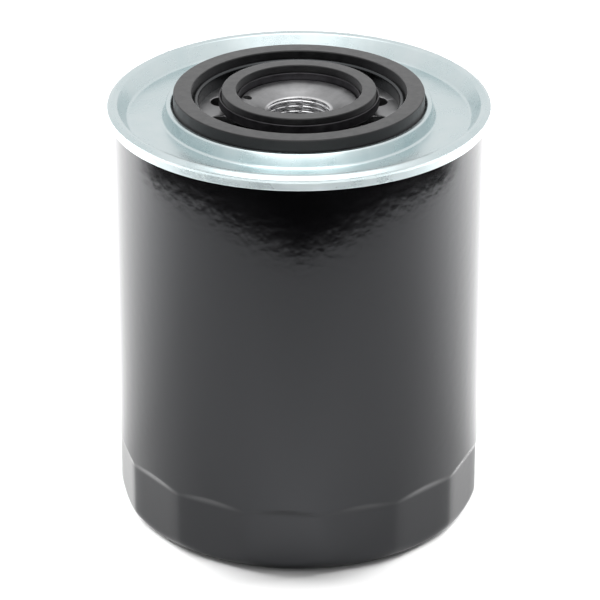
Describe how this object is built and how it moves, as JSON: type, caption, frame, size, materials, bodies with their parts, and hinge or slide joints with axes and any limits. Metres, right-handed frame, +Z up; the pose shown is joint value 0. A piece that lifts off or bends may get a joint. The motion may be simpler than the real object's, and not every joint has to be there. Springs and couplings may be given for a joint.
{
  "type": "spin-on oil filter",
  "caption": "Black spin-on engine oil filter can with wrench flats, a zinc seamed lid, two rubber sealing rings and a threaded steel base plate.",
  "frame": {"origin": "centre of the closed end's standing face", "axes": "+Z up the can's axis to the threaded end, +X and +Y across the can"},
  "size_m": [0.108, 0.108, 0.1272],
  "materials": {
    "black_paint": "gloss black stove enamel with a fine orange peel",
    "zinc_plate": "bright zinc plating, faintly blue",
    "plain_steel": "satin, lightly oiled",
    "dark_steel": "dark phosphate",
    "spring_steel": "drawn wire",
    "gasket_rubber": "matt moulded rubber",
    "valve_rubber": "matt moulded rubber",
    "seam_compound": "cured sealing compound",
    "cap_adhesive": "cured plastisol",
    "filter_paper": "resin-treated pleated paper"
  },
  "bodies": {
    "filter": {"can": "black_paint", "seam_lid": "zinc_plate", "seam_sealant": "seam_compound", "base_plate": "plain_steel", "outer_gasket": "gasket_rubber", "inner_gasket_retainer": "dark_steel", "inner_gasket": "gasket_rubber", "outlet_tube": "plain_steel", "fine_upper_cap": "zinc_plate", "fine_upper_potting": "cap_adhesive", "fine_pleated_paper": "filter_paper", "fine_centre_tube": "plain_steel", "fine_lower_potting": "cap_adhesive", "fine_lower_cap": "zinc_plate", "between_elements_seal": "valve_rubber", "main_upper_cap": "zinc_plate", "main_upper_potting": "cap_adhesive", "main_pleated_paper": "filter_paper", "main_centre_tube": "plain_steel", "main_lower_potting": "cap_adhesive", "main_lower_cap": "zinc_plate", "relief_valve_seat": "plain_steel", "relief_valve_spring": "spring_steel", "relief_valve_cage": "zinc_plate", "support_spring_seat": "zinc_plate", "support_spring": "spring_steel"},
    "relief_valve": {"relief_valve_disc": "dark_steel"},
    "anti_drain_valve": {"anti_drain_flap": "valve_rubber"}
  },
  "joints": [
    {"name": "relief_valve_lift", "type": "slide", "parent": "filter", "child": "relief_valve", "axis": [0, 0, 1], "range_m": [0, 0.003], "stiffness_N_per_m": 2500, "springref_m": -0.0045, "deforming": ["relief_valve_spring"]},
    {"name": "anti_drain_valve_lift", "type": "slide", "parent": "filter", "child": "anti_drain_valve", "axis": [0, 0, -1], "range_m": [0, 0.0015], "stiffness_N_per_m": 500, "springref_m": -0.001, "deforming": ["anti_drain_flap"]}
  ]
}
